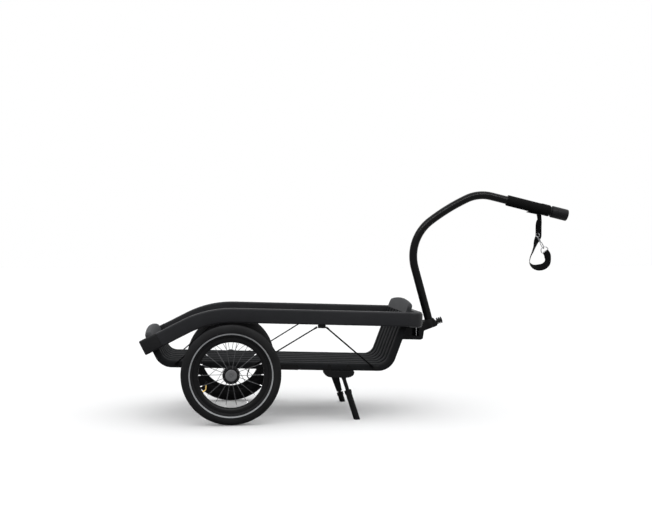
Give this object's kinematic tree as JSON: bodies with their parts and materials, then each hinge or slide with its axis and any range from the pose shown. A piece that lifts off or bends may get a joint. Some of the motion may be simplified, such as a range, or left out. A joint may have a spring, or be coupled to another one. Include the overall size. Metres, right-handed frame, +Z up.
{
  "type": "cargo bike trailer",
  "caption": "Flatbed bicycle cargo trailer with a slatted tray between bent side rails, spoked wheels, folding stand and a swan neck hitch arm with safety strap.",
  "frame": {"origin": "on the floor, under the centre of the bounding box", "axes": "+X forward along the trailer to the coupling, +Y to its left along the axle, +Z up"},
  "size_m": [1.8774, 0.7018, 0.9641],
  "materials": {
    "rail": "satin anthracite powder coat",
    "end_cap": "fine textured black nylon",
    "corner": "satin anthracite powder coat on a casting",
    "tray": "grained dark grey polypropylene",
    "trim": "black nylon",
    "cable": "black coated steel cable",
    "casting": "black powder coat",
    "steel": "polished stainless",
    "hub_grey": "satin grey plastic",
    "tyre": "black rubber",
    "rim": "black anodised",
    "spokes": "black coated steel",
    "valve": "bare brass",
    "foot": "moulded black plastic",
    "knob": "moulded black plastic",
    "arm": "gloss black powder coat",
    "grip": "matt black foam rubber",
    "socket": "black glass filled nylon",
    "webbing": "woven black polyester"
  },
  "bodies": {
    "chassis": {"side_rail_right": "rail", "side_rail_left": "rail", "rear_end_cap_right": "end_cap", "rear_end_cap_left": "end_cap", "front_corner_right": "corner", "front_corner_left": "corner", "front_cross_rail": "rail", "rear_cross_tube": "rail", "tray_slat_1": "tray", "tray_slat_2": "tray", "tray_slat_3": "tray", "tray_slat_4": "tray", "tray_slat_5": "tray", "tray_side_right": "tray", "tray_side_left": "tray", "tray_front_header": "tray", "tray_rear_header": "tray", "rail_clip_right": "trim", "rail_clip_left": "trim", "tray_anchor_right": "trim", "tray_anchor_left": "trim", "brace_cable_front_right": "cable", "brace_cable_middle_right": "cable", "brace_cable_rear_right": "cable", "brace_cable_front_left": "cable", "brace_cable_middle_left": "cable", "brace_cable_rear_left": "cable", "axle_beam": "casting", "axle_pin_right": "steel", "axle_pin_left": "steel", "stand_mount": "trim", "hitch_receiver": "casting", "foot_casting": "casting"},
    "wheel_right": {"tyre_right": "tyre", "rim_right": "rim", "hub_inner_spokes_right": "spokes", "outer_spokes_right": "spokes", "hub_cap_right": "hub_grey", "valve_right": "valve"},
    "wheel_left": {"tyre_left": "tyre", "rim_left": "rim", "hub_inner_spokes_left": "spokes", "outer_spokes_left": "spokes", "hub_cap_left": "hub_grey", "valve_left": "valve"},
    "axle_button_right": {"axle_button_right": "hub_grey"},
    "axle_button_left": {"axle_button_left": "hub_grey"},
    "stand_right": {"stand_leg_right": "casting", "stand_foot_right": "foot"},
    "stand_left": {"stand_leg_left": "casting", "stand_foot_left": "foot"},
    "lock_knob": {"lock_knob": "knob"},
    "hitch_arm": {"hitch_arm": "arm", "grip_sleeve": "grip"},
    "coupling_socket": {"coupling_socket": "socket"},
    "strap": {"strap_webbing": "webbing", "strap_ring": "steel", "strap_d_ring": "steel", "snap_hook": "steel"},
    "snap_gate": {"snap_gate": "steel"}
  },
  "joints": [
    {"name": "wheel_right_spin", "type": "hinge", "parent": "chassis", "child": "wheel_right", "pos_m": [-0.56734, -0.325, 0.20188], "axis": [0, 1, 0], "continuous": true},
    {"name": "wheel_left_spin", "type": "hinge", "parent": "chassis", "child": "wheel_left", "pos_m": [-0.56734, 0.325, 0.20188], "axis": [0, 1, 0], "continuous": true},
    {"name": "axle_button_right_press", "type": "slide", "parent": "chassis", "child": "axle_button_right", "axis": [0, 1, 0], "range_m": [0, 0.003], "stiffness_N_per_m": 1500},
    {"name": "axle_button_left_press", "type": "slide", "parent": "chassis", "child": "axle_button_left", "axis": [0, -1, 0], "range_m": [0, 0.003], "stiffness_N_per_m": 1500},
    {"name": "stand_right_fold", "type": "hinge", "parent": "chassis", "child": "stand_right", "pos_m": [-0.10935, -0.238, 0.19469], "axis": [0, 1, 0], "range_deg": [0, 90]},
    {"name": "stand_left_fold", "type": "hinge", "parent": "chassis", "child": "stand_left", "pos_m": [-0.10935, 0.238, 0.19469], "axis": [0, 1, 0], "range_deg": [0, 90]},
    {"name": "arm_swivel", "type": "hinge", "parent": "chassis", "child": "hitch_arm", "pos_m": [0.30619, 0, 0.38904], "axis": [-0.2639, 0, 0.9646], "range_deg": [-90, 90]},
    {"name": "lock_knob_pull", "type": "slide", "parent": "chassis", "child": "lock_knob", "axis": [0.9646, 0, 0.2639], "range_m": [0, 0.008], "stiffness_N_per_m": 600},
    {"name": "coupling_swivel", "type": "hinge", "parent": "hitch_arm", "child": "coupling_socket", "pos_m": [0.93332, 0, 0.85796], "axis": [0.972, 0, -0.2351], "range_deg": [-180, 180]},
    {"name": "strap_swing", "type": "hinge", "parent": "hitch_arm", "child": "strap", "pos_m": [0.8057, 0, 0.88883], "axis": [0.972, 0, -0.2351], "range_deg": [-60, 60]},
    {"name": "snap_gate_open", "type": "hinge", "parent": "strap", "child": "snap_gate", "pos_m": [0.80919, -0.00463, 0.7336], "axis": [0.6243, -0.7071, 0.332], "range_deg": [0, 16], "stiffness_Nm_per_rad": 0.02, "springref_deg": -17.19}
  ]
}
